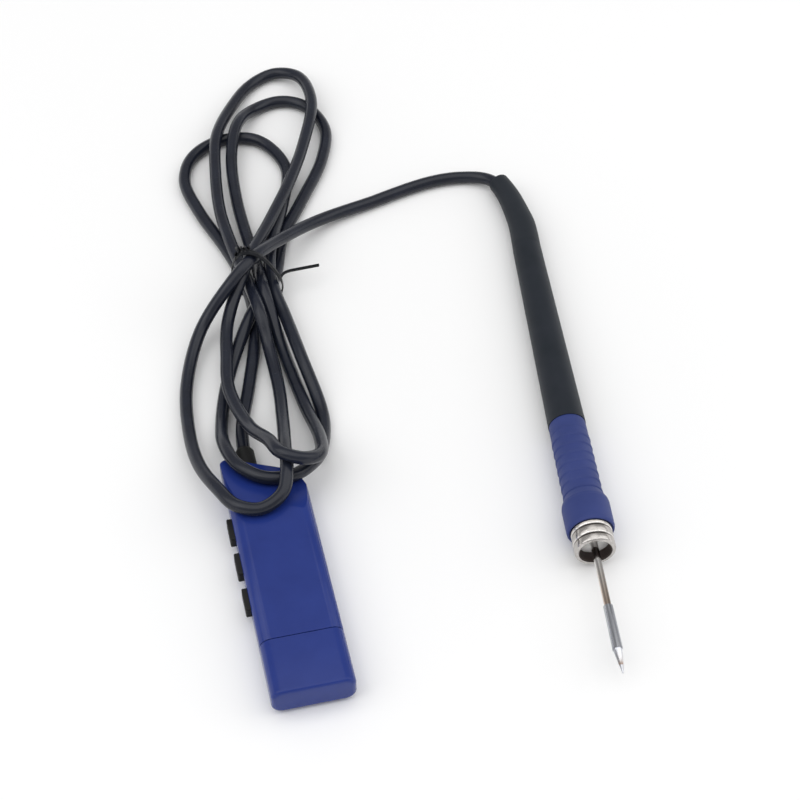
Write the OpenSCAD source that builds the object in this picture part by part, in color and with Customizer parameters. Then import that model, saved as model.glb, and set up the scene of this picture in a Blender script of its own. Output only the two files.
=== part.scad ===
// USB soldering iron: a pen with a removable tip cartridge, a control box with a capped plug,
// and the cord between them. The origin is the centre of the box's flat underside, +Z is up,
// the plug points along -Y, and the pen lies beside the box on its +X side.

/* [Control box] */
// Width of the box across its label face
box_w = 29.6; // [27:0.2:33]
// Thickness of the box, underside to label face
box_t = 13; // [12:0.5:15]
// Y of the cap's closed end
cap_end_y = -51.6; // [-56:0.2:-51]
// Y of the split between the cap and the body
split_y = -29.4; // [-30:0.2:-28]
// Radius of the box's long edges
edge_r = 4.2; // [2:0.2:5]
// Wall thickness of the shells and the cap
wall = 1.5; // [1.2:0.1:2]
// Slope of the slanted end seen from above, fall in Y for each mm of X
end_slope = 0.44; // [0.2:0.02:0.6]
// Y of the slanted end at the box's centre line
end_y = 49; // [46:0.5:52]
// Length of the ramp that runs down to the slanted end
ramp_run = 19.4; // [12:0.2:24]
// Height that the ramp loses
ramp_drop = 4; // [2:0.5:4.5]
// Plan radius of the blunt corner at the slanted end
blunt_r = 16; // [6:1:18]
// Plan radius of the sharp corner at the slanted end
sharp_r = 3; // [2:0.5:6]
// Gap between the cap and the body
cap_gap = 0.2; // [0.15:0.05:0.4]
// Length of the spigot that the cap slides over
spigot_l = 3; // [2:0.5:4]
// Width of the display window in the underside
window_w = 11; // [9:0.5:12]
// Length of the display window along the box
window_l = 23; // [20:0.5:24]
// Y of the display window's centre
window_y = 17.5; // [16:0.5:19]

/* [Board] */
// Height of the board's top face
board_top = 4.8; // [4.6:0.1:4.9]
// Thickness of the board
board_t = 1; // [0.8:0.1:1]
// Width of the board
board_w = 22; // [20:0.5:22]
// Y of the board's plug end
board_y0 = -20; // [-21:0.5:-19]
// Y of the board's cord end
board_y1 = 34; // [33:0.5:35]

/* [Strain relief and cord] */
// X of the cord where it leaves the box
relief_x = -4.5; // [-5:0.1:-4]
// Height of the cord where it leaves the box
relief_z = 4.5; // [4.3:0.1:4.6]
// Radius of the hole in the end wall
relief_r = 3.7; // [3.5:0.1:3.8]
// Y of the strain relief's outer end
relief_y1 = 60.5; // [58:0.5:62]
// Length of the strain relief
relief_l = 15; // [14:0.5:16]
// Radius of the cord's jacket
cord_r = 2.5; // [2.3:0.05:2.5]

/* [Keys] */
// Length of a key along the box
key_l = 9.5; // [9:0.1:10.5]
// Height of a key
key_h = 5; // [4:0.1:6]
// How far a key stands out of the side
key_out = 1.9; // [1:0.1:2.5]
// Gap round a key in its hole, and between its flange and the wall
key_gap = 0.3; // [0.2:0.05:0.4]
// Distance between neighbouring keys
key_pitch = 15.5; // [14:0.1:16]
// Y of the key nearest the slanted end
key_y = 22.4; // [22:0.1:23]

/* [Plug] */
// Width of the plug's metal shell
plug_w = 12; // [11.9:0.1:12.1]
// Height of the plug's metal shell
plug_h = 4.5; // [4.4:0.1:4.6]
// Length of the plug outside the body
plug_l = 18.7; // [18:0.1:19]

/* [Pen] */
// X of the joint between grip and handle, on the pen's axis; BOOT_POINTS follow it by hand
pen_x = 115.5; // [115.4:0.1:115.6]
// Y of that joint
pen_y = 42; // [41.9:0.1:42]
// Height of that joint
pen_z = 8; // [8:0.05:8.1]
// Turn of the pen about Z, from pointing along -Y
pen_turn = -6.3; // [-8:0.1:-5]
// How much the nose points up, in degrees
pen_tilt = 1.3; // [1:0.05:1.5]
// Length of the handle behind the grip
handle_l = 95; // [93:0.5:95]
// Radius of the handle where the boot meets it
handle_r1 = 5.75; // [5.6:0.05:6]
// Radius of the handle where the grip meets it
handle_r2 = 7.15; // [7:0.05:7.5]
// Length of the grip
grip_l = 50.6; // [50.4:0.1:52]
// Number of rings on the grip
ring_count = 7; // [6:1:7]
// Distance from the grip's rear edge to its first ring
ring_first = 5.5; // [5:0.1:6]
// Distance from one ring to the next
ring_pitch = 4.2; // [4:0.1:4.3]
// Radius of the grip's flared front
flare_r = 8.85; // [8.4:0.05:9]
// Outer radius of the nose collar
collar_r = 7.55; // [7.2:0.05:7.7]
// Distance from the grip's rear edge to the collar's front face
collar_end = 59.5; // [58:0.5:61]
// Radius of the cup in the collar
cup_r = 6.05; // [5.5:0.05:6.2]
// Depth of the cup
cup_d = 4.3; // [3:0.1:6]

/* [Cartridge] */
// Radius of the cartridge's tube
tube_r = 1.4; // [1.3:0.05:1.5]
// Where the cartridge's rear end sits, from the grip's rear edge
cart_rear = 15; // [12:1:20]
// Where the bit's sleeve starts
bit_start = 83.2; // [80:0.5:86]
// Length of the bit's sleeve
sleeve_l = 18.2; // [15:0.2:20]
// Length of the bit's point
point_l = 9.6; // [8:0.2:12]
// Running clearance round the cartridge in the collar and the socket
run_gap = 0.06; // [0.02:0.01:0.1]

/* [Hidden] */
$fn = 64;

mid_z = box_t / 2;
pen_at = [pen_x, pen_y, pen_z];
key_x = -box_w / 2;
end_len = sqrt(1 + end_slope * end_slope);
end_angle = atan(end_slope);
ramp_angle = atan(ramp_drop / ramp_run);
fit_gap = 0.05;
plug_t = 0.3;
flange_t = 1;
// The boot, the bush and the clamp grip the jacket, so their bores are this much smaller
grip_fit = 0.05;
// Where the collar's outer sleeve starts, and where its shank starts inside the barrel
collar_seat = collar_end - 10;
shank_z = 44;
// The barrel inside the grip, the bore behind the shank, and the bore that holds the socket
barrel_r = 5.6;
bore_r = 4.65;
socket_r = 4;
// The heater rod, and the insulator's length behind it
heater_r = 0.95;
insulator_l = 12;
// How far the plug's metal shell and its moulded block reach into the body
plug_in = 9;
plug_block_l = 7;
// Distances behind the joint at which the boot's neck, the clamp and the pen's wires start
neck_at = 96;
neck_l = 4.8;
clamp_at = 90.5;
clamp_l = 4.5;
wires_at = 84.3;
// How far the barrel reaches into the handle, and where the handle's bore is narrow again
barrel_tail = 25;
taper_end = 60;
// Where the socket block starts in front of the joint, and its length
socket_at = 11;
socket_l = 22;
cart_front = bit_start + sleeve_l + point_l;
// Where the cartridge's two contact rings start, from its rear end, and their length
CONTACT_STARTS = [1.5, 6.5];
contact_l = 2.5;

// The cord's centre line, from the clamp in the pen's handle to the box's strain relief.
CORD_POINTS = [
    [124.5, 126, 6], [127.5, 149, 5.7], [127.5, 158, 5.5], [127, 166, 5.2], [126, 172.5, 5],
    [124, 178, 4.5],
    [120, 183, 3.5], [112, 186.5, 2.5], [98, 187, 2.5], [72, 181, 2.5], [48, 173, 5],
    [28, 157, 13.5], [14, 142, 20.5], [5, 134, 18.6], [-10, 122, 7.5], [-20, 98, 3.5],
    [-23, 72, 5], [-22, 53, 9.5], [-17.5, 37, 14.5], [-12.5, 27.5, 15.6], [-4, 24, 15.6],
    [4.8, 28.5, 16.8], [8.2, 38, 18.7], [9.7, 50, 15.5], [12, 68, 9], [14, 88, 5],
    [14, 109, 6], [13, 122, 12.8], [11, 150, 7.8], [9, 166, 7.8], [8, 185, 7.2],
    [10, 208, 7.5], [14, 229, 7.8], [24, 250, 4.5], [35, 264.5, 2.5], [46, 269, 3],
    [55.5, 263, 5], [58, 243, 7.7], [49, 216, 7.5], [38, 192, 9.3], [27, 172, 11],
    [11, 142, 15.5], [0.5, 122, 9], [-3, 105, 8], [-5, 88, 8], [-1, 65, 12.5],
    [4, 51, 20], [6.8, 42, 23.2], [13.8, 38.2, 22.3], [20.8, 41.6, 18], [23.6, 54, 11.5],
    [22, 79, 3.5],
    [19, 112, 3.5], [16.9, 134, 12], [17, 153, 7], [16, 190, 5],
    [18, 215, 7], [24, 235, 7.5], [33, 247, 3.5], [45, 251, 2.5], [55, 246, 2.5],
    [61, 230, 2.5], [56, 211, 2.5], [42, 187, 2.5], [31, 169, 2.5],
    [24, 148, 2.5], [11, 126, 7.7], [3, 113, 4.5], [-4, 98, 2.5], [-10, 77, 3.5], [-11.5, 60, 10],
    [-8, 46.5, 13.3], [0, 39, 13.7], [10, 38, 13.3], [18.5, 44, 10.6], [24, 54, 5.5],
    [28, 72, 2.5], [25, 100, 7.5],
    [23, 122, 7.5], [21.4, 134, 8.8], [21.8, 147, 8.9], [26, 164, 7.7], [34, 185, 4.4], [40, 210, 2.5],
    [31, 229, 2.5], [16, 232, 2.5], [3, 225, 2.5], [-3, 211, 2.5], [0, 191, 2.5],
    [7, 168, 2.5], [11, 150, 2.5], [12, 131, 2.5], [9, 113, 2.5], [3, 92, 2.5],
    [-3, 72, 4], [-4.5, 60, 4.5], [-4.5, 48, 4.5]];
// The boot's centre line behind the handle, and its radius at each point
BOOT_POINTS = [[126, 136.6, 5.8], [127.5, 149, 5.7], [127.5, 158, 5.5], [127, 166, 5.2],
    [126, 172.5, 5], [124, 178, 4.5]];
BOOT_RADII = [5.72, 5.55, 5.1, 4.75, 4.45, 4.3];
// The bore through the boot starts inside the handle and ends past the boot's mouth
BORE_POINTS = concat([CORD_POINTS[0]], BOOT_POINTS, [CORD_POINTS[6]]);
// The twist tie's loop round the bundle, and its tail
TIE_POINTS = [[8.4, 145, 19.5], [10.6, 144, 22.8], [14.5, 142, 24.2], [18.5, 140, 22],
    [21.8, 139.2, 17], [24.9, 138.4, 10], [24.9, 138, 4], [21.5, 138, 0.9], [14, 141, 0.9],
    [8.5, 144.5, 0.9], [6.5, 146, 5], [6.5, 146.5, 11], [7.2, 146, 16], [8.4, 145, 20]];
tie_r = 0.8;
TAIL_POINTS = [[25, 139.5, 9.5], [27.5, 143, 9], [34, 144, 8.6], [41.5, 144.8, 8]];

// Frames along a line of points: unit tangent, and two unit normals
function unit(v) = v / norm(v);
function tangent(p, i) = unit(p[min(i + 1, len(p) - 1)] - p[max(i - 1, 0)]);
function side(t) = unit(cross(t, abs(t[2]) > 0.9 ? [1, 0, 0] : [0, 0, 1]));

// A tube with radius r[i] at point p[i]
module sweep(p, r, sides) {
    n = len(p);
    rings = [for (i = [0:n - 1])
        let (t = tangent(p, i), u = side(t), v = cross(t, u))
        for (k = [0:sides - 1])
            let (a = 360 * k / sides)
            p[i] + r[i] * (cos(a) * u + sin(a) * v)];
    caps = [[for (k = [0:sides - 1]) k], [for (k = [sides - 1:-1:0]) (n - 1) * sides + k]];
    skin = [for (i = [0:n - 2]) for (k = [0:sides - 1])
        let (a = i * sides + k, b = i * sides + (k + 1) % sides)
        each [[a, a + sides, b], [b, a + sides, b + sides]]];
    polyhedron(points = rings, faces = concat(caps, skin), convexity = 8);
}

function same(r, p) = [for (q = p) r];

// Plan view of the box's slanted outline, inset by i
module plan(i) {
    x0 = -box_w / 2 + i;
    x1 = box_w / 2 - i;
    y0 = cap_end_y + i;
    function line_y(x) = end_y - end_slope * x - i * end_len;
    function arc_y(cx, r) = end_y - end_slope * cx - r * end_len;
    bx = box_w / 2 - blunt_r;
    by = arc_y(bx, blunt_r);
    sx = -box_w / 2 + sharp_r;
    sy = arc_y(sx, sharp_r);
    dx = sin(end_angle);
    dy = cos(end_angle);
    br = blunt_r - i;
    sr = sharp_r - i;
    difference() {
        polygon([[x0, y0], [x1, y0], [x1, line_y(x1)], [x0, line_y(x0)]]);
        polygon([[x1, by], [x1 + 1, by], [x1 + 1, line_y(x1) + 1], [bx + br * dx, by + br * dy]]);
        polygon([[x0, sy], [x0 - 1, sy], [x0 - 1, line_y(x0) + 1], [sx + sr * dx, sy + sr * dy]]);
    }
    intersection() {
        polygon([[x0, y0], [x1, y0], [x1, line_y(x1)], [x0, line_y(x0)]]);
        union() {
            translate([bx, by]) circle(br);
            translate([sx, sy]) circle(sr);
        }
    }
}

// Cross-section of the box in X and Z, inset by i
module section(i) {
    w = box_w - 2 * i;
    t = box_t - 2 * i;
    r = max(edge_r - i, 0.5);
    translate([0, mid_z]) {
        square([w - 2 * r, t], center = true);
        square([w, t - 2 * r], center = true);
        for (sx = [-1, 1], sz = [-1, 1])
            translate([sx * (w / 2 - r), sz * (t / 2 - r)]) circle(r);
    }
}

// A length of the box's cross-section from y0 to y1
module bar(i, y0, y1) {
    translate([0, y1, 0]) rotate([90, 0, 0]) linear_extrude(y1 - y0) section(i);
}

// Everything above the ramp that runs down to the slanted end, lowered by i
module above_ramp(i) {
    translate([0, end_y - ramp_run * end_len, box_t - i])
        rotate([0, 0, -end_angle]) rotate([-ramp_angle, 0, 0])
            translate([-60, -20, 0]) cube([120, 80, 30]);
}

// The body's outline, inset by i and cut off at y0
module block(i, y0) {
    difference() {
        intersection() {
            linear_extrude(box_t) plan(i);
            bar(i, y0, 70);
        }
        above_ramp(i);
    }
}

module relief_hole(r) {
    translate([relief_x, 45, relief_z]) rotate([-90, 0, 0]) cylinder(r = r, h = 30);
}

module key_holes() {
    for (k = [0:2])
        translate([key_x - 1, key_y - k * key_pitch - key_l / 2 - key_gap, mid_z - key_h / 2 - key_gap])
            cube([5, key_l + 2 * key_gap, key_h + 2 * key_gap]);
}

// The hollow body with its front wall and the spigot that the cap slides over
module body_shell() {
    difference() {
        union() {
            block(0, split_y);
            bar(wall + cap_gap, split_y - spigot_l, split_y + 1);
        }
        block(wall, split_y + wall);
        bar(2 * wall + cap_gap, split_y - spigot_l - 1, split_y);
        translate([-plug_w / 2 - 0.1, split_y - 5, mid_z - plug_h / 2 - 0.1])
            cube([plug_w + 0.2, 12, plug_h + 0.2]);
        relief_hole(relief_r);
        key_holes();
    }
}

module half(upper) {
    translate([-40, -70, upper ? mid_z : mid_z - 30]) cube([80, 160, 30]);
}

module upper_shell() {
    color("mediumblue") {
        intersection() {
            body_shell();
            half(true);
        }
        for (y = [-10, 28]) translate([9, y, board_top])
            cylinder(r = 1.2, h = box_t - wall - board_top);
    }
}

module lower_shell() {
    color("mediumblue") {
        difference() {
            intersection() {
                body_shell();
                half(false);
            }
            translate([-window_w / 2, window_y - window_l / 2, -1]) cube([window_w, window_l, wall + 2]);
        }
        for (x = [-9, 9], y = [-16, 31]) translate([x, y, 1]) cylinder(r = 1.6, h = board_top - 2);
    }
}

module usb_cap() {
    color("mediumblue") difference() {
        bar(0, cap_end_y, split_y - cap_gap);
        bar(wall, cap_end_y + wall, split_y + 1);
    }
}

module usb_shell() {
    color("silver") difference() {
        translate([-plug_w / 2, split_y - plug_l, mid_z - plug_h / 2])
            cube([plug_w, plug_l + plug_in, plug_h]);
        translate([-plug_w / 2 + plug_t, split_y - plug_l - 1, mid_z - plug_h / 2 + plug_t])
            cube([plug_w - 2 * plug_t, plug_l + plug_in + 3, plug_h - 2 * plug_t]);
        for (x = [-3, 3]) translate([x - 1.25, split_y - plug_l + 4, 0]) cube([2.5, 2.5, box_t]);
    }
}

module usb_tongue() {
    color("black") {
        translate([-plug_w / 2 + 0.4, split_y - plug_l + 0.5, mid_z])
            cube([plug_w - 0.8, plug_l - 1, 1.84]);
        translate([-plug_w / 2 + 0.4, split_y, mid_z - plug_h / 2 + 0.4])
            cube([plug_w - 0.8, plug_block_l, plug_h - 0.8]);
    }
}

// Four contacts under the tongue, and their pins over the board's edge
module usb_contacts() {
    color("gold") for (k = [0:3]) translate([-3.5 + k * 7 / 3 - 0.5, 0, 0]) {
        translate([0, split_y - plug_l + 2, mid_z - 0.25]) cube([1, plug_l - 3, 0.25]);
        translate([0, split_y + plug_block_l, board_top]) cube([1, 5, 0.4]);
    }
}

module main_board() {
    color("green") difference() {
        translate([-board_w / 2, board_y0, board_top - board_t])
            cube([board_w, board_y1 - board_y0, board_t]);
        translate([8.5, board_y1 - 4, 0]) rotate([0, 0, -45]) cube([20, 20, 20]);
    }
}

module control_chip() {
    color("black") translate([-3.5, -2, board_top]) cube([7, 7, 1.2]);
}

module power_switch() {
    color("black") translate([1.4, -12, board_top]) cube([6, 5, 1.6]);
}

module inductor() {
    color("dimgray") translate([4, 16, board_top]) difference() {
        cube([6.5, 6.5, 4]);
        translate([3.25, 3.25, 3.5]) cylinder(r = 2.4, h = 1);
    }
}

module capacitors() {
    color("silver") for (y = [-13, 9]) translate([-3.5, y, board_top]) cylinder(r = 2.5, h = 5);
}

module display_module() {
    color("black") translate([-window_w / 2 + 0.3, window_y - window_l / 2 + 0.3, wall + 0.1])
        cube([window_w - 0.6, window_l - 0.6, 2]);
}

module display_window() {
    color("gray") translate([-window_w / 2 + 0.1, window_y - window_l / 2 + 0.1, 0.3])
        cube([window_w - 0.2, window_l - 0.2, wall - 0.3]);
}

// One rubber key: the part that shows, and the flange that keeps it in the wall
module key(n) {
    y = key_y - n * key_pitch;
    color("black") {
        translate([key_x - key_out, y - key_l / 2, mid_z - key_h / 2])
            cube([key_out + wall + key_gap + flange_t / 2, key_l, key_h]);
        translate([key_x + wall + key_gap, y - key_l / 2 - 1, mid_z - key_h / 2 - 1])
            cube([flange_t, key_l + 2, key_h + 2]);
    }
}

module button_up() { key(0); }
module button_down() { key(1); }
module button_power() { key(2); }

module switch_bodies() {
    color("dimgray") for (n = [0:2]) difference() {
        translate([-10.4, key_y - n * key_pitch - 3, board_top]) cube([3.4, 6, 3.6]);
        translate([-11, key_y - n * key_pitch - 1.3, mid_z - 1]) cube([2.6, 2.6, 2]);
    }
}

// The switch's own stem, which the key's flange pushes in
module stem(n) {
    color("white") translate([key_x + wall + key_gap + flange_t, key_y - n * key_pitch - 1, mid_z - 0.7])
        cube([2.4, 2, 1.4]);
}

module stem_up() { stem(0); }
module stem_down() { stem(1); }
module stem_power() { stem(2); }

// Rubber bush with a chamfered outer end, pressed into the end wall
module box_strain_relief() {
    color("black") translate([relief_x, relief_y1, relief_z]) rotate([90, 0, 0]) rotate_extrude()
        polygon([[cord_r - grip_fit, 0], [relief_r - 0.9, 0], [relief_r - fit_gap, 1.6],
            [relief_r - fit_gap, relief_l], [cord_r - grip_fit, relief_l]]);
}

module box_wires() {
    color("red") for (k = [0:3]) translate([relief_x - 1.5 + k, 48, relief_z + 0.9])
        rotate([90, 0, 0]) cylinder(r = 0.45, h = 17);
}

// Places a piece that is drawn along +Z, from the grip's rear edge to the tip
module on_pen() {
    translate(pen_at) rotate([90 - pen_tilt, 0, pen_turn]) children();
}

// A solid of revolution from a list of radius and distance pairs
module turned(outline) {
    rotate_extrude() polygon(outline);
}

module ring(r0, r1, z0, z1) {
    turned([[r0, z0], [r1, z0], [r1, z1], [r0, z1]]);
}

module tip_bit() {
    s = bit_start;
    p = s + sleeve_l;
    color("silver") on_pen() turned([[1.3, s], [1.7, s], [1.85, p], [1.6, p + 0.6], [0.25, cart_front],
        [0, cart_front], [0, p + 1], [1.0, p + 1], [1.0, s + 3.2], [1.3, s + 3.2]]);
}

module tip_tube() {
    s = cart_rear + insulator_l;
    color("lightgray") on_pen() turned([[heater_r + 0.1, s], [tube_r, s], [tube_r, collar_end + 0.5],
        [1.25, bit_start + 3], [heater_r + 0.1, bit_start + 3]]);
}

module heater_core() {
    s = cart_rear + insulator_l + 0.1;
    color("ivory") on_pen() translate([0, 0, s]) cylinder(r = heater_r, h = bit_start + sleeve_l + 0.8 - s);
}

module cartridge_rear() {
    translate([0, 0, cart_rear]) children();
}

module tip_insulator() {
    color("white") on_pen() cartridge_rear()
        cylinder(r = tube_r - 0.1, h = insulator_l - fit_gap);
}

module tip_contacts() {
    color("gold") on_pen() cartridge_rear() for (z = CONTACT_STARTS)
        ring(tube_r - 0.1, tube_r, z, z + contact_l);
}

module nose_collar() {
    groove = 0.5;
    half_groove = 0.65;
    f = collar_end;
    color("silver") on_pen() turned([[tube_r + run_gap, shank_z], [bore_r - fit_gap, shank_z],
        [bore_r - fit_gap, collar_seat],
        [collar_r, collar_seat], each [for (z = [f - 7.6, f - 3.65]) each [[collar_r, z - half_groove],
            [collar_r - groove, z - 0.2], [collar_r - groove, z + 0.2], [collar_r, z + half_groove]]],
        [collar_r, f - 0.6],
        [collar_r - 0.6, f], [cup_r, f], [cup_r, f - cup_d], [tube_r + run_gap, f - cup_d]]);
}

module cup_liner() {
    color("saddlebrown") on_pen()
        ring(cup_r - 0.35, cup_r - 0.02, collar_end - cup_d + 0.02, collar_end - 0.4);
}

// Rings of the grip: each grows towards the nose, then steps back in
module grip_sleeve() {
    last = ring_first + ring_count * ring_pitch;
    color("mediumblue") on_pen() turned(concat(
        [[barrel_r + fit_gap, 0], [6.85, 0], [7.0, 0.6], [7.05, ring_first]],
        [for (k = [0:ring_count - 1]) let (z = ring_first + k * ring_pitch, grow = k * 0.03)
            each [[6.95 + grow, z + 0.3], [7.3 + grow, z + ring_pitch - 0.4]]],
        [[7.2, last], [flare_r - 0.2, last + 3.4], [flare_r, last + 4.6], [flare_r, grip_l - 1.6],
            [flare_r - 0.1, grip_l - 0.8], [flare_r - 0.4, grip_l - 0.2],
            [flare_r - 0.7, grip_l], [collar_r + 0.15, grip_l - 0.3],
            [collar_r + 0.15, collar_seat], [barrel_r + fit_gap, collar_seat]]));
}

module inner_barrel() {
    color("dimgray") on_pen() turned([[socket_r, -barrel_tail],
        [barrel_r - 0.2, -barrel_tail], [barrel_r, 0],
        [barrel_r, collar_seat - 0.1], [bore_r, collar_seat - 0.1], [bore_r, shank_z - 0.1],
        [socket_r, shank_z - 0.1]]);
}

module handle_tube() {
    color("darkslategray") on_pen() turned([[bore_r, -handle_l], [handle_r1, -handle_l], [handle_r2, 0],
        [barrel_r + fit_gap, 0], [barrel_r + fit_gap, -barrel_tail - 3], [bore_r, -taper_end]]);
}

module socket_block() {
    color("ivory") on_pen() difference() {
        translate([0, 0, socket_at]) cylinder(r = socket_r - fit_gap, h = socket_l);
        translate([0, 0, socket_at + 2]) cylinder(r = tube_r + run_gap, h = socket_l - 1);
        for (z = CONTACT_STARTS) translate([0, 0, cart_rear + z - 0.2])
            cylinder(r = 2.6, h = contact_l + 0.4);
    }
}

// Spring rings with a slot, one in each groove of the block
module contact_springs() {
    color("gold") on_pen() cartridge_rear() for (z = CONTACT_STARTS) difference() {
        ring(tube_r + run_gap, 2.5, z, z + contact_l - 0.1);
        translate([0, -0.4, z - 1]) cube([4, 0.8, 5]);
    }
}

module pen_wires() {
    color("red") on_pen() for (k = [0:2]) rotate([0, 0, 120 * k + 30])
        translate([1.3, 0, -wires_at]) cylinder(r = 0.5, h = wires_at + socket_at - 0.1);
}

// Crimped on the cord inside the handle, so its bore is smaller than the jacket
module cord_clamp() {
    color("silver") on_pen() ring(cord_r - grip_fit, bore_r - fit_gap, -clamp_at, clamp_l - clamp_at);
}

// The bent boot, with a neck that sits in the handle's rear opening
module cable_boot() {
    color("darkslategray") difference() {
        union() {
            sweep(BOOT_POINTS, BOOT_RADII, 24);
            on_pen() translate([0, 0, -neck_at]) cylinder(r = bore_r - fit_gap, h = neck_l);
        }
        sweep(BORE_POINTS, same(cord_r - grip_fit, BORE_POINTS), 12);
    }
}

module cord() {
    color("black") sweep(CORD_POINTS, same(cord_r, CORD_POINTS), 10);
}

module cord_tie() {
    color("black") {
        sweep(TIE_POINTS, same(tie_r, TIE_POINTS), 8);
        sweep(TAIL_POINTS, same(tie_r, TAIL_POINTS), 8);
    }
}

upper_shell();
lower_shell();
usb_cap();
usb_shell();
usb_tongue();
usb_contacts();
main_board();
control_chip();
power_switch();
inductor();
capacitors();
display_module();
display_window();
button_up();
button_down();
button_power();
switch_bodies();
stem_up();
stem_down();
stem_power();
box_strain_relief();
box_wires();
tip_bit();
tip_tube();
heater_core();
tip_insulator();
tip_contacts();
nose_collar();
cup_liner();
grip_sleeve();
inner_barrel();
handle_tube();
socket_block();
contact_springs();
pen_wires();
cord_clamp();
cable_boot();
cord();
cord_tie();
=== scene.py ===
import math

import bmesh
import bpy
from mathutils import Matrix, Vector


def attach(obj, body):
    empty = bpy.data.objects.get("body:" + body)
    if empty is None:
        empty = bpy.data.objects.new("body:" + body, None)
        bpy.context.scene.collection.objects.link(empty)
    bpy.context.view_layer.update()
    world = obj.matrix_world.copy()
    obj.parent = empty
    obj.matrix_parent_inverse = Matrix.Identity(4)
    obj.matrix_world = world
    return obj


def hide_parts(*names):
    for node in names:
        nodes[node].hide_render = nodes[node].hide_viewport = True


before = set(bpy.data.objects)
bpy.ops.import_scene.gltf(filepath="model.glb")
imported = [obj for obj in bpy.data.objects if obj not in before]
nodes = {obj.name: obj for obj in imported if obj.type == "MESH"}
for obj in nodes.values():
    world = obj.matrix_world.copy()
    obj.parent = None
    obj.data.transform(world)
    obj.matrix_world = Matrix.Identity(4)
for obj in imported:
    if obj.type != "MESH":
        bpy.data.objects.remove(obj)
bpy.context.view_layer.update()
MM = 0.001

# ---------------------------------------------------------------- camera
cam_data = bpy.data.cameras.new("camera")
cam_data.lens = 90
cam_data.sensor_width = 36
cam_data.clip_start = 0.01
cam_data.clip_end = 20
camera = bpy.data.objects.new("camera", cam_data)
bpy.context.collection.objects.link(camera)
camera.location = (-0.0524, -0.4066, 0.5891)
aim = Vector((0.0588, 0.075, 0)) - camera.location
camera.rotation_euler = aim.to_track_quat("-Z", "Y").to_euler()
bpy.context.scene.camera = camera


# ---------------------------------------------------------------- the pen's axis
# As in part.scad: a point, and the way that the nose points
PEN = Vector((115.5, 42, 8)) * MM
TURN, TILT = math.radians(-6.3), math.radians(1.3)
NOSE = Vector((math.cos(TILT) * math.sin(TURN), -math.cos(TILT) * math.cos(TURN), math.sin(TILT)))
ACROSS_X = NOSE.cross(Vector((0, 0, 1))).normalized()
ACROSS_Y = NOSE.cross(ACROSS_X)


# ---------------------------------------------------------------- material helpers
class Mat:
    """A node material: a shader, and what drives its colour, roughness and bump."""

    def __init__(self, name, metallic=0.0, coat=0.0, coat_rough=0.1, spec=0.5):
        self.m = bpy.data.materials.new(name)
        self.m.use_nodes = True
        self.t = self.m.node_tree
        self.b = self.t.nodes["Principled BSDF"]
        self.b.inputs["Metallic"].default_value = metallic
        self.b.inputs["IOR"].default_value = 1.5
        self.b.inputs["Coat Weight"].default_value = coat
        self.b.inputs["Coat Roughness"].default_value = coat_rough
        self.b.inputs["Specular IOR Level"].default_value = spec
        self.coord = self.t.nodes.new("ShaderNodeTexCoord")

    def noise(self, scale, detail=3, rough=0.55, stretch=None):
        """Noise, or with stretch, noise in the pen's own directions that is drawn out along them."""
        n = self.t.nodes.new("ShaderNodeTexNoise")
        n.inputs["Scale"].default_value = scale
        n.inputs["Detail"].default_value = detail
        n.inputs["Roughness"].default_value = rough
        if stretch:
            m = self.t.nodes.new("ShaderNodeMapping")
            m.vector_type = "TEXTURE"
            m.inputs["Rotation"].default_value = (-TILT, 0, TURN)
            m.inputs["Scale"].default_value = tuple(1 / k for k in stretch)
            self.t.links.new(self.coord.outputs["Object"], m.inputs["Vector"])
            self.t.links.new(m.outputs["Vector"], n.inputs["Vector"])
        else:
            self.t.links.new(self.coord.outputs["Object"], n.inputs["Vector"])
        return n.outputs["Fac"]

    def along_pen(self, start, end):
        """0 to 1 between two distances along the pen, in metres."""
        d = self.t.nodes.new("ShaderNodeVectorMath")
        d.operation = "SUBTRACT"
        d.inputs[1].default_value = PEN
        self.t.links.new(self.coord.outputs["Object"], d.inputs[0])
        k = self.t.nodes.new("ShaderNodeVectorMath")
        k.operation = "DOT_PRODUCT"
        k.inputs[1].default_value = NOSE
        self.t.links.new(d.outputs["Vector"], k.inputs[0])
        m = self.t.nodes.new("ShaderNodeMapRange")
        m.inputs["From Min"].default_value = start
        m.inputs["From Max"].default_value = end
        self.t.links.new(k.outputs["Value"], m.inputs["Value"])
        return m.outputs["Result"]

    def product(self, a, b):
        """Two colours multiplied, and kept to what a surface can reflect."""
        m = self.t.nodes.new("ShaderNodeMix")
        m.data_type = "RGBA"
        m.blend_type = "MULTIPLY"
        m.clamp_result = True
        self.t.links.new(a, m.inputs["A"])
        self.t.links.new(b, m.inputs["B"])
        m.inputs["Factor"].default_value = 1.0
        return m.outputs["Result"]

    def ramp(self, fac, stops):
        r = self.t.nodes.new("ShaderNodeValToRGB")
        e = r.color_ramp.elements
        e[0].position, e[0].color = stops[0][0], (*stops[0][1], 1)
        e[1].position, e[1].color = stops[-1][0], (*stops[-1][1], 1)
        for pos, col in stops[1:-1]:
            n = e.new(pos)
            n.color = (*col, 1)
        self.t.links.new(fac, r.inputs["Fac"])
        return r.outputs["Color"]

    def colour(self, out):
        self.t.links.new(out, self.b.inputs["Base Color"])
        return self

    def rough(self, fac, lo, hi):
        m = self.t.nodes.new("ShaderNodeMapRange")
        m.inputs["To Min"].default_value = lo
        m.inputs["To Max"].default_value = hi
        self.t.links.new(fac, m.inputs["Value"])
        self.t.links.new(m.outputs["Result"], self.b.inputs["Roughness"])
        return self

    def bump(self, fac, strength, distance):
        n = self.t.nodes.new("ShaderNodeBump")
        n.inputs["Strength"].default_value = strength
        n.inputs["Distance"].default_value = distance
        self.t.links.new(fac, n.inputs["Height"])
        self.t.links.new(n.outputs["Normal"], self.b.inputs["Normal"])
        return self


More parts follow.
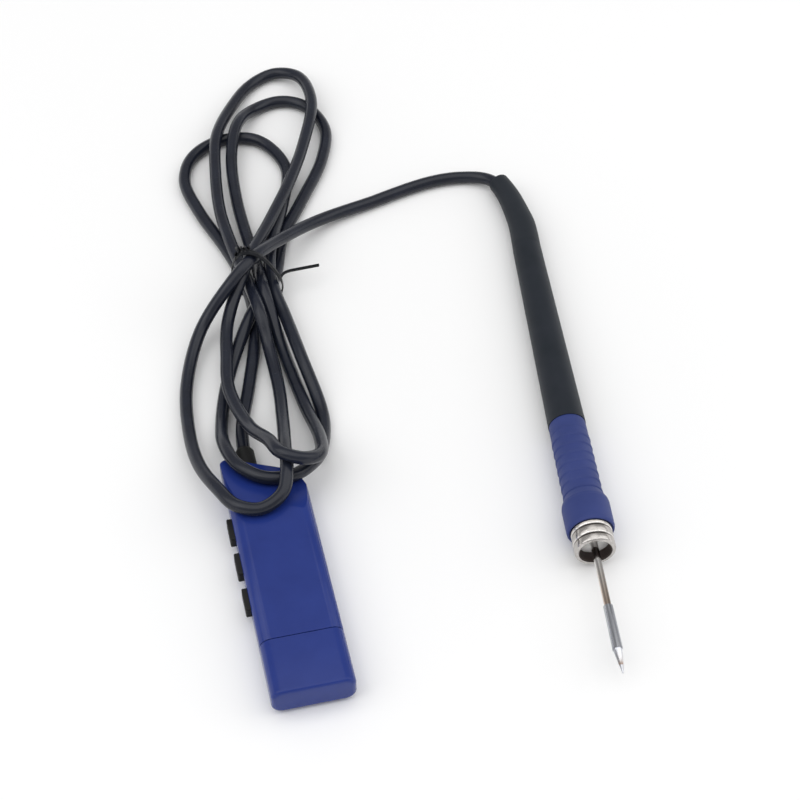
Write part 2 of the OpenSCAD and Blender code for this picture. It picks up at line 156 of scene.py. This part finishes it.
def moulded(name, dark, light, lo, hi, grain=2600, strength=0.12, cloud=70, **kw):
    """Moulded plastic or rubber: faint clouding in its colour, a fine grain in its surface."""
    k = Mat(name, **kw)
    k.colour(k.ramp(k.noise(cloud), [(0.3, dark), (0.7, light)]))
    fine = k.noise(grain)
    k.rough(fine, lo, hi)
    k.bump(fine, strength, 0.00006)
    return k.m


def metal(name, dark, light, lo, hi, stretch, scale=900, tint=None):
    """Turned or drawn metal: lines along one direction, which on the shaft are wide dark and bright stripes
    of painted reflection. tint gives two distances along the pen, and factors for the colour from the first
    to the second."""
    k = Mat(name, metallic=1.0)
    lines = k.noise(scale, rough=0.6, stretch=stretch)
    base = k.ramp(lines, [(0.3, dark), (0.7, light)])
    if tint:
        start, end, stops = tint
        base = k.product(base, k.ramp(k.along_pen(start, end), stops))
    k.colour(base)
    k.rough(lines, lo, hi)
    k.bump(lines, 0.1, 0.00003)
    return k.m


# ---------------------------------------------------------------- the cord
# The same points as the CAD solid's centre line, in millimetres.
CORD = [
    (124.5, 126, 6), (127.5, 149, 5.7), (127.5, 158, 5.5), (127, 166, 5.2), (126, 172.5, 5),
    (124, 178, 4.5),
    (120, 183, 3.5), (112, 186.5, 2.5), (98, 187, 2.5), (72, 181, 2.5), (48, 173, 5),
    (28, 157, 13.5), (14, 142, 20.5), (5, 134, 18.6), (-10, 122, 7.5), (-20, 98, 3.5),
    (-23, 72, 5), (-22, 53, 9.5), (-17.5, 37, 14.5), (-12.5, 27.5, 15.6), (-4, 24, 15.6),
    (4.8, 28.5, 16.8), (8.2, 38, 18.7), (9.7, 50, 15.5), (12, 68, 9), (14, 88, 5),
    (14, 109, 6), (13, 122, 12.8), (11, 150, 7.8), (9, 166, 7.8), (8, 185, 7.2),
    (10, 208, 7.5), (14, 229, 7.8), (24, 250, 4.5), (35, 264.5, 2.5), (46, 269, 3),
    (55.5, 263, 5), (58, 243, 7.7), (49, 216, 7.5), (38, 192, 9.3), (27, 172, 11),
    (11, 142, 15.5), (0.5, 122, 9), (-3, 105, 8), (-5, 88, 8), (-1, 65, 12.5),
    (4, 51, 20), (6.8, 42, 23.2), (13.8, 38.2, 22.3), (20.8, 41.6, 18), (23.6, 54, 11.5),
    (22, 79, 3.5),
    (19, 112, 3.5), (16.9, 134, 12), (17, 153, 7), (16, 190, 5),
    (18, 215, 7), (24, 235, 7.5), (33, 247, 3.5), (45, 251, 2.5), (55, 246, 2.5),
    (61, 230, 2.5), (56, 211, 2.5), (42, 187, 2.5), (31, 169, 2.5),
    (24, 148, 2.5), (11, 126, 7.7), (3, 113, 4.5), (-4, 98, 2.5), (-10, 77, 3.5), (-11.5, 60, 10),
    (-8, 46.5, 13.3), (0, 39, 13.7), (10, 38, 13.3), (18.5, 44, 10.6), (24, 54, 5.5),
    (28, 72, 2.5), (25, 100, 7.5),
    (23, 122, 7.5), (21.4, 134, 8.8), (21.8, 147, 8.9), (26, 164, 7.7), (34, 185, 4.4), (40, 210, 2.5),
    (31, 229, 2.5), (16, 232, 2.5), (3, 225, 2.5), (-3, 211, 2.5), (0, 191, 2.5),
    (7, 168, 2.5), (11, 150, 2.5), (12, 131, 2.5), (9, 113, 2.5), (3, 92, 2.5),
    (-3, 72, 4), (-4.5, 60, 4.5), (-4.5, 48, 4.5)]
CORD_D = 5 * MM


def smooth_points(points, steps=7):
    """Points on one smooth curve through the given ones, in metres."""
    p = [Vector(q) * MM for q in points]
    p = [2 * p[0] - p[1]] + p + [2 * p[-1] - p[-2]]
    out = []
    for i in range(1, len(p) - 2):
        a, b, c, d = p[i - 1:i + 3]
        # knots grow with the square root of the distance, so a short span doesn't kink
        t0 = 0.0
        t1 = t0 + (b - a).length ** 0.5
        t2 = t1 + (c - b).length ** 0.5
        t3 = t2 + (d - c).length ** 0.5
        for s in range(steps):
            t = t1 + (t2 - t1) * s / steps
            a1 = a * ((t1 - t) / (t1 - t0)) + b * ((t - t0) / (t1 - t0))
            a2 = b * ((t2 - t) / (t2 - t1)) + c * ((t - t1) / (t2 - t1))
            a3 = c * ((t3 - t) / (t3 - t2)) + d * ((t - t2) / (t3 - t2))
            b1 = a1 * ((t2 - t) / (t2 - t0)) + a2 * ((t - t0) / (t2 - t0))
            b2 = a2 * ((t3 - t) / (t3 - t1)) + a3 * ((t - t1) / (t3 - t1))
            out.append(b1 * ((t2 - t) / (t2 - t1)) + b2 * ((t - t1) / (t2 - t1)))
    out.append(p[-2])
    # the curve never dips under the floor that it lies on
    for q in out:
        q.z = max(q.z, CORD_D / 2)
    return out


line = smooth_points(CORD)
# the real length, as the photograph shows the cord from end to end
curve = bpy.data.curves.new("cord_jacket", "CURVE")
curve.dimensions = "3D"
curve.bevel_depth = CORD_D / 2
curve.bevel_resolution = 7
curve.use_fill_caps = True
spline = curve.splines.new("POLY")
spline.points.add(len(line) - 1)
for point, q in zip(spline.points, line):
    point.co = (*q, 1)
spline.use_smooth = True
cord = bpy.data.objects.new("cord_jacket", curve)
bpy.context.collection.objects.link(cord)
cord.data.materials.append(moulded(
    "cord_rubber", (0.008, 0.010, 0.018), (0.012, 0.015, 0.026), 0.22, 0.30,
    grain=1500, strength=0.08, cloud=120, spec=0.36))
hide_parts("cord")
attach(cord, "base")

# ---------------------------------------------------------------- materials for the CAD nodes
blue = moulded("gloss_blue", (0.013, 0.030, 0.185), (0.017, 0.037, 0.212), 0.20, 0.27,
               grain=1900, strength=0.05, coat=0.10, coat_rough=0.05, spec=0.22)
grip_blue = moulded("grip_rubber", (0.024, 0.040, 0.165), (0.032, 0.050, 0.195), 0.50, 0.62,
                    grain=2400, strength=0.18, spec=0.3)
handle = moulded("handle_plastic", (0.011, 0.015, 0.021), (0.017, 0.021, 0.029), 0.44, 0.56, spec=0.20)
boot_rubber = moulded("boot_rubber", (0.010, 0.014, 0.020), (0.016, 0.020, 0.027), 0.48, 0.60, spec=0.25)
key_rubber = moulded("key_rubber", (0.006, 0.006, 0.006), (0.010, 0.010, 0.010), 0.52, 0.66, spec=0.3)
# the collar's chamfers carry a painted highlight and its grooves carry painted shade
LAND_TINT, CHAMFER_HIGHLIGHT, GROOVE_SHADE = (0.90, 0.88, 0.86), (1.40, 1.40, 1.40), (0.16, 0.14, 0.13)
steel = metal("collar_steel", (0.40, 0.38, 0.365), (0.62, 0.60, 0.58), 0.16, 0.26, (1, 14, 1),
              tint=(0.050, 0.060, [
                  (0.000, LAND_TINT), (0.145, LAND_TINT), (0.155, CHAMFER_HIGHLIGHT), (0.192, CHAMFER_HIGHLIGHT),
                  (0.200, GROOVE_SHADE), (0.270, GROOVE_SHADE), (0.280, (0.85, 0.83, 0.81)), (0.530, (0.95, 0.94, 0.93)),
                  (0.540, CHAMFER_HIGHLIGHT), (0.577, CHAMFER_HIGHLIGHT), (0.585, GROOVE_SHADE), (0.655, GROOVE_SHADE),
                  (0.665, LAND_TINT), (1.000, (1.05, 1.05, 1.05))]))
# towards the cup the shaft is darker with painted shade, the heat of the bit browns it towards the sleeve,
# and its long dark and bright stripes are a painted reflection
shaft = metal("shaft_steel", (0.12, 0.11, 0.105), (0.97, 0.95, 0.93), 0.09, 0.15, (1, 0.012, 1), scale=760,
              tint=(0.055, 0.084, [(0.0, (0.80, 0.80, 0.80)), (0.35, (1, 1, 1)),
                                   (0.75, (0.80, 0.70, 0.62)), (1.0, (0.62, 0.50, 0.42))]))
# the sleeve is satin, the cone is brighter, browned near its end, and the last 3 mm are tinned
plating = metal("bit_plating", (0.14, 0.15, 0.17), (0.78, 0.79, 0.83), 0.20, 0.30, (1, 0.03, 1), scale=800,
                tint=(0.101, 0.111, [
                    (0.0, (1, 1, 1)), (0.03, (0.55, 0.55, 0.57)), (0.09, (1.25, 1.25, 1.25)),
                    (0.50, (1.15, 1.10, 1.05)), (0.66, (0.62, 0.46, 0.36)),
                    (0.72, (1.15, 1.15, 1.15)), (1.0, (1.2, 1.2, 1.2))]))
plug_metal = metal("plug_shell", (0.62, 0.62, 0.64), (0.75, 0.75, 0.77), 0.14, 0.24, (1, 8, 1))
brass = metal("contact_brass", (0.62, 0.45, 0.18), (0.78, 0.60, 0.28), 0.2, 0.32, (1, 1, 1))
liner = moulded("cup_liner_brown", (0.030, 0.018, 0.015), (0.050, 0.032, 0.027), 0.45, 0.6)
inner = moulded("inner_black", (0.012, 0.012, 0.013), (0.020, 0.020, 0.022), 0.4, 0.55)
board = moulded("board_mask", (0.004, 0.060, 0.026), (0.008, 0.085, 0.038), 0.28, 0.4, grain=900)
smoke = moulded("window_smoke", (0.008, 0.008, 0.010), (0.012, 0.012, 0.015), 0.05, 0.09,
                strength=0.02, coat=0.5)
ceramic = moulded("ceramic_white", (0.66, 0.63, 0.58), (0.76, 0.73, 0.69), 0.5, 0.65)
white = moulded("stem_white", (0.60, 0.60, 0.57), (0.70, 0.70, 0.68), 0.4, 0.52)
red = moulded("wire_red", (0.28, 0.012, 0.010), (0.36, 0.020, 0.016), 0.35, 0.5)
can = metal("can_metal", (0.55, 0.55, 0.57), (0.70, 0.70, 0.72), 0.25, 0.4, (1, 1, 1))
tie_black = moulded("tie_black", (0.003, 0.004, 0.006), (0.006, 0.007, 0.010), 0.34, 0.46, spec=0.18)

LOOK = {
    "upper_shell": blue, "lower_shell": blue, "usb_cap": blue,
    "usb_shell": plug_metal, "usb_tongue": inner, "usb_contacts": brass,
    "main_board": board, "control_chip": inner, "power_switch": inner, "inductor": inner,
    "capacitors": can, "display_module": inner, "display_window": smoke,
    "button_up": key_rubber, "button_down": key_rubber, "button_power": key_rubber,
    "switch_bodies": inner, "stem_up": white, "stem_down": white, "stem_power": white,
    "box_strain_relief": key_rubber, "box_wires": red,
    "tip_bit": plating, "tip_tube": shaft, "heater_core": ceramic, "tip_insulator": white,
    "tip_contacts": brass, "nose_collar": steel, "cup_liner": liner, "grip_sleeve": grip_blue,
    "inner_barrel": inner, "handle_tube": handle, "socket_block": white,
    "contact_springs": brass, "pen_wires": red, "cord_clamp": steel,
    "cable_boot": boot_rubber, "cord_tie": tie_black,
}
for name, look in LOOK.items():
    o = nodes[name]
    o.data.materials.clear()
    o.data.materials.append(look)

# ---------------------------------------------------------------- moulded edges on the CAD nodes
# The nodes keep their meshes; a modifier rounds the edges that the mould would round.
for name, width, segments in (("upper_shell", 0.12, 2), ("lower_shell", 0.12, 2),
                              ("button_up", 0.6, 3), ("button_down", 0.6, 3), ("button_power", 0.6, 3),
                              ("box_strain_relief", 0.3, 2)):
    w = nodes[name].modifiers.new("joined", "WELD")
    w.merge_threshold = 0.002 * MM
    b = nodes[name].modifiers.new("mould_edge", "BEVEL")
    b.width = width * MM
    b.segments = segments
    b.limit_method = "ANGLE"
    b.angle_limit = math.radians(50)
    b.harden_normals = False
    b.use_clamp_overlap = True


# ---------------------------------------------------------------- detail pieces
def new_mesh(name, verts, faces, material):
    """A smooth mesh whose creases of 38 degrees or more stay sharp."""
    mesh = bpy.data.meshes.new(name)
    mesh.from_pydata([tuple(v) for v in verts], [], faces)
    mesh.update()
    made = bmesh.new()
    made.from_mesh(mesh)
    bmesh.ops.remove_doubles(made, verts=made.verts, dist=1e-7)
    bmesh.ops.recalc_face_normals(made, faces=made.faces)
    for e in made.edges:
        e.smooth = e.calc_face_angle(0) < math.radians(38)
    made.to_mesh(mesh)
    made.free()
    for f in mesh.polygons:
        f.use_smooth = True
    o = bpy.data.objects.new(name, mesh)
    bpy.context.collection.objects.link(o)
    mesh.materials.append(material)
    return o


def curve_points(points, radii=None, steps=6):
    """Points on a smooth curve through points in mm, each with a radius that follows the curve too."""
    line = [(*q, (radii[i] if radii else 0)) for i, q in enumerate(points)]
    p = [Vector(q) * MM for q in line]
    p = [2 * p[0] - p[1]] + p + [2 * p[-1] - p[-2]]
    out = []
    for i in range(1, len(p) - 2):
        a, b, c, d = p[i - 1:i + 3]
        for k in range(steps):
            t = k / steps
            out.append(0.5 * (2 * b + (c - a) * t + (2 * a - 5 * b + 4 * c - d) * t * t
                              + (3 * b - a - 3 * c + d) * t ** 3))
    out.append(p[-2])
    return [(q.xyz, q.w) for q in out]


def frames(line):
    """Unit tangent and two normals at each point, turned as little as possible from one to the next."""
    n = len(line)
    tangents = [(line[min(i + 1, n - 1)] - line[max(i - 1, 0)]).normalized() for i in range(n)]
    u = tangents[0].cross(Vector((0, 0, 1))).normalized()
    out = []
    for t in tangents:
        u = (u - t * u.dot(t)).normalized()
        out.append((t, u, t.cross(u)))
    return out


def ring_faces(per, rings, ends=True):
    """Faces between rings of points. Either both ends are closed, or the last ring meets the first."""
    faces = []
    for i in range(rings - 1 if ends else rings):
        after = (i + 1) % rings
        for k in range(per):
            k1 = (k + 1) % per
            faces.append((i * per + k, i * per + k1, after * per + k1, after * per + k))
    if ends:
        faces.append(tuple(range(per)))
        faces.append(tuple(range(rings * per - 1, (rings - 1) * per - 1, -1)))
    return faces


def turned(name, outline, sides, material):
    """A closed outline turned on the pen's axis, from pairs of distance along the pen and radius, in mm."""
    verts = []
    for distance, r in outline:
        for k in range(sides):
            a = math.tau * k / sides
            outward = ACROSS_X * math.cos(a) + ACROSS_Y * math.sin(a)
            verts.append(PEN + (NOSE * distance + outward * r) * MM)
    return new_mesh(name, verts, ring_faces(sides, len(outline), ends=False), material)


# The cap: the box's section swept along Y, with a rounded closed end and a hollow inside
BOX_W, BOX_T, EDGE_R, WALL = 29.6, 13, 4.2, 1.5
CAP_END, CAP_OPEN, LIP = -51.6, -29.6, 0.12
END_R_TOP, END_R_BOTTOM = 1.3, 2.6


def section_ring(place, arc=12):
    """One ring of the box's rounded section. place gives y and the inset, from 1 at the top to -1 below."""
    ring = []
    for quarter, (sx, sz) in enumerate(((1, 1), (-1, 1), (-1, -1), (1, -1))):
        for k in range(arc + 1):
            a = math.pi / 2 * (quarter + k / arc)
            y, inset = place(math.sin(a))
            w, t, r = BOX_W / 2 - inset, BOX_T / 2 - inset, max(EDGE_R - inset, 0.5)
            ring.append(Vector((sx * (w - r) + r * math.cos(a), y,
                                BOX_T / 2 + sz * (t - r) + r * math.sin(a))) * MM)
    return ring


def rounding(turn):
    """The closed end's rounding, which is larger below than on top."""
    def place(height):
        r = END_R_TOP + (END_R_BOTTOM - END_R_TOP) * (1 - height) / 2
        return CAP_END + r * (1 - math.sin(turn)), r * (1 - math.cos(turn))
    return place


def level(y, inset):
    return lambda height: (y, inset)


CAP_RINGS = ([rounding(math.pi / 2 * k / 8) for k in range(8, -1, -1)]
             + [level(CAP_OPEN - 6, 0), level(CAP_OPEN - LIP, 0), level(CAP_OPEN, LIP),
                level(CAP_OPEN, WALL - LIP), level(CAP_OPEN - LIP, WALL),
                level(CAP_END + WALL + 0.4, WALL), level(CAP_END + WALL, WALL + 0.4)])
verts = [point for place in CAP_RINGS for point in section_ring(place)]
cap = new_mesh("cap_skin", verts, ring_faces(len(verts) // len(CAP_RINGS), len(CAP_RINGS)), blue)
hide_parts("usb_cap")
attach(cap, "cap")

# The boot: a smooth skin with a rolled mouth that the cord comes out of, and a joint at the handle
BOOT = [(126, 136.6, 5.8), (127.5, 149, 5.7), (127.5, 158, 5.5), (127.1, 166, 5.2),
        (126.2, 172.5, 5), (125.1, 177.7, 4.6)]
# the cord leaves the mouth on its inner side
MOUTH_HOLE = Vector((124.1, 177.8, 4.5)) * MM
BOOT_R = [5.72, 5.55, 5.1, 4.75, 4.45, 4.3]
BOOT_SIDES = 40
SHADOW_LINE = 0.12 * MM
# the rolled mouth: how far each ring lies past the end of the boot, and its radius, in mm. The last
# two rings are the hole, and the cord fills the one that lies inside
MOUTH = ((0.10, 4.28), (0.22, 4.15), (0.26, 3.9), (0.22, 2.75), (-2.5, 2.6))
HOLE_RINGS = 2
boot_line = curve_points(BOOT, BOOT_R, 10)
centres = [q for q, r in boot_line]
radii = [r for q, r in boot_line]
radii[0] -= SHADOW_LINE
axes = frames(centres)
outward = (centres[-1] - centres[-2]).normalized()
for i, (past, r) in enumerate(MOUTH):
    in_hole = i >= len(MOUTH) - HOLE_RINGS
    centres.append((MOUTH_HOLE if in_hole else boot_line[-1][0]) + outward * past * MM)
    radii.append(r * MM)
axes += [axes[-1]] * len(MOUTH)
verts = []
for q, r, (t, u, v) in zip(centres, radii, axes):
    for k in range(BOOT_SIDES):
        a = math.tau * k / BOOT_SIDES
        verts.append(q + r * (math.cos(a) * u + math.sin(a) * v))
boot = new_mesh("boot_skin", verts, ring_faces(BOOT_SIDES, len(centres)), boot_rubber)
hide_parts("cable_boot")
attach(boot, "base")


# The twist tie: a flat strip round the bundle, a twisted knot, and a wire tail
# A strip's section: flat faces, and a bead along the middle where the wire runs
STRIP = ((-1, -.3), (-.85, -.5), (-.3, -.5), (0, -1), (.3, -.5), (.85, -.5), (1, -.3),
         (1, .3), (.85, .5), (.3, .5), (0, 1), (-.3, .5), (-.85, .5), (-1, .3))


def ribbon(name, points, width, thick, across, steps=6):
    """A flat strip along points in mm. Its width lies along across, as nearly as the path lets it."""
    line = [q for q, r in curve_points(points, None, steps)]
    verts = []
    n = len(line)
    for i, q in enumerate(line):
        t = (line[min(i + 1, n - 1)] - line[max(i - 1, 0)]).normalized()
        w = (across - t * across.dot(t)).normalized()
        h = t.cross(w)
        for x, y in STRIP:
            verts.append(q + w * x * width / 2 * MM + h * y * thick / 2 * MM)
    return new_mesh(name, verts, ring_faces(len(STRIP), n), tie_black)


TIE = [(8.4, 145, 19.5), (10.6, 144, 22.8), (14.5, 142, 24.2), (18.5, 140, 22), (21.8, 139.2, 17),
       (24.9, 138.4, 10), (24.9, 138, 4), (21.5, 138, 0.9), (14, 141, 0.9), (8.5, 144.5, 0.9),
       (6.5, 146, 5), (6.5, 146.5, 11), (7.2, 146, 16), (8.4, 145, 20)]
BUNDLE_WAY = Vector((-0.225, -0.974, 0))
strip = ribbon("tie_strip", TIE, 2.6, 0.7, BUNDLE_WAY)
tail = ribbon("tie_tail", [(24.6, 139.4, 9.7), (27.5, 143, 9), (34, 144, 8.6), (41.5, 144.8, 8)],
              1.3, 0.9, Vector((0, 0.3, 1)))
knots = []
# two strands wound round each other where the strip is closed
KNOT_STEPS, KNOT_TURNS = 14, 1.6
for k in range(2):
    wound = []
    for i in range(KNOT_STEPS + 1):
        f = i / KNOT_STEPS
        a = math.tau * f * KNOT_TURNS + math.pi * k
        wound.append((8.6 + 5.2 * f + 0.36 * math.cos(a), 146.6 - 2.4 * f + 1.1 * math.cos(a),
                      21.6 + 2.0 * f + 1.1 * math.sin(a)))
    knots.append(ribbon(f"tie_knot_{k}", wound, 1.5, 0.8, Vector((0, 0.4, 1)), steps=3))
for piece in (strip, tail, *knots):
    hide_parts("cord_tie")
    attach(piece, "base")

# The collar, turned on the pen's axis: three lands, two grooves between them, and the cup. The
# land behind each groove ends in a wide chamfer, and the land in front of it starts square.
LAND, GROOVE = 7.55, 7.2
CUP_FLOOR = 55.2


def groove(start):
    """The outline of one groove, from where its chamfer starts."""
    return [(start, LAND), (start + 0.45, LAND - 0.28), (start + 0.50, GROOVE), (start + 1.25, GROOVE),
            (start + 1.25, LAND - 0.05), (start + 1.30, LAND)]


COLLAR = ([(44, 1.46), (44, 4.6), (49.5, 4.6), (49.5, LAND)] + groove(51.5) + groove(55.35)
          + [(58.75, LAND), (59.15, 7.38), (59.42, 7.12), (59.5, 6.85), (59.5, 6.2), (59.44, 6.09),
             (59.3, 6.05), (CUP_FLOOR, 6.05), (CUP_FLOOR, 1.46)])
collar = turned("collar_skin", COLLAR, 96, steel)
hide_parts("nose_collar")
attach(collar, "base")

# The cup's machined floor, a thin washer face on the collar's own floor, whose brightness is painted light
cup_painted_light = metal("cup_floor_painted_light", (0.90, 0.89, 0.88), (0.96, 0.95, 0.94), 0.75, 0.9, (1, 1, 1))
cup_floor = turned("cup_floor", [(CUP_FLOOR + 0.01, 1.50), (CUP_FLOOR + 0.05, 1.65),
                                 (CUP_FLOOR + 0.05, 5.55), (CUP_FLOOR + 0.01, 5.66)], 64, cup_painted_light)
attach(cup_floor, "base")

# ---------------------------------------------------------------- floor and light
floor_mesh = bpy.data.meshes.new("floor")
bm = bmesh.new()
bmesh.ops.create_grid(bm, x_segments=4, y_segments=4, size=3)
bm.to_mesh(floor_mesh)
bm.free()
floor = bpy.data.objects.new("floor", floor_mesh)
floor.location.z = -0.0002
bpy.context.collection.objects.link(floor)
floor.data.materials.append(moulded("floor_paper", (0.96, 0.96, 0.96), (0.98, 0.98, 0.98), 0.85, 0.95,
                                    grain=300, strength=0.0, cloud=2))


def area(name, place, target, size, power):
    light = bpy.data.lights.new(name, "AREA")
    light.shape = "RECTANGLE"
    light.size, light.size_y = size
    light.energy = power
    o = bpy.data.objects.new(name, light)
    o.location = place
    o.rotation_euler = (Vector(target) - Vector(place)).to_track_quat("-Z", "Y").to_euler()
    bpy.context.collection.objects.link(o)


centre = (0.055, 0.09, 0)
area("key_light", (-0.75, 0.0, 0.85), centre, (0.9, 0.9), 3.2)
area("fill_light", (0.95, 0.0, 0.75), centre, (0.9, 0.9), 2.8)
world = bpy.data.worlds.new("studio")
bpy.context.scene.world = world
world.use_nodes = True
wt = world.node_tree
w_co = wt.nodes.new("ShaderNodeTexCoord")
w_sep = wt.nodes.new("ShaderNodeSeparateXYZ")
w_ramp = wt.nodes.new("ShaderNodeValToRGB")
# bright at the horizon and overhead, darker between, so that polished metal has something to show
# pairs of a direction's height, and grey
SKY = [(0.00, 0.90), (0.12, 0.80), (0.26, 0.30), (0.80, 0.30), (0.90, 1.00), (1.00, 1.00)]
ramp = w_ramp.color_ramp.elements
ramp[0].position, ramp[0].color = SKY[0][0], (*[SKY[0][1]] * 3, 1)
ramp[1].position, ramp[1].color = SKY[-1][0], (*[SKY[-1][1]] * 3, 1)
for place, grey in SKY[1:-1]:
    ramp.new(place).color = (grey, grey, grey, 1)
wt.links.new(w_co.outputs["Generated"], w_sep.inputs["Vector"])
wt.links.new(w_sep.outputs["Z"], w_ramp.inputs["Fac"])
wt.links.new(w_ramp.outputs["Color"], wt.nodes["Background"].inputs["Color"])
wt.nodes["Background"].inputs["Strength"].default_value = 1.55
bpy.context.scene.view_settings.view_transform = "Standard"

# ---------------------------------------------------------------- the end
bpy.context.view_layer.update()
